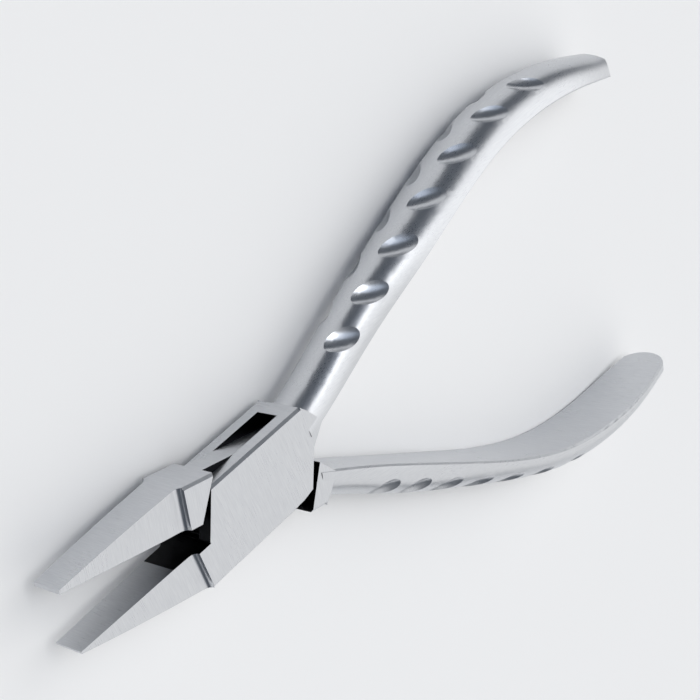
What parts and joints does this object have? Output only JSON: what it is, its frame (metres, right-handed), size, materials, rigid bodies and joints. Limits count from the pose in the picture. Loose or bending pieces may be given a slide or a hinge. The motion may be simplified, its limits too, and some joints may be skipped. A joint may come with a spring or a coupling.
{
  "type": "flat nose pliers",
  "caption": "Box-joint flat nose pliers with smooth tapered jaws and curved bare steel handles, fluted on the outside, shown half open.",
  "frame": {"origin": "where the pin's axis meets the outer face of the lower cheek", "axes": "+Z along the pin's axis, up through the joint; +X from the pin towards the jaw tips, midway between the jaws; +Y completes a right-handed set, towards the box half's jaw"},
  "size_m": [0.1269, 0.0654, 0.0118],
  "materials": {
    "forged_halves": "ground and satin brushed stainless steel, dark inside the joint",
    "pin": "ground flush with the cheeks, brushed with them"
  },
  "bodies": {
    "box_half": {"box_half": "forged_halves", "joint_pin": "pin"},
    "through_half": {"through_half": "forged_halves"}
  },
  "joints": [
    {"name": "joint_hinge", "type": "hinge", "parent": "box_half", "child": "through_half", "pos_m": [0, 0, 0.0042], "axis": [0, 0, -1], "range_deg": [-14.4, 24]}
  ]
}
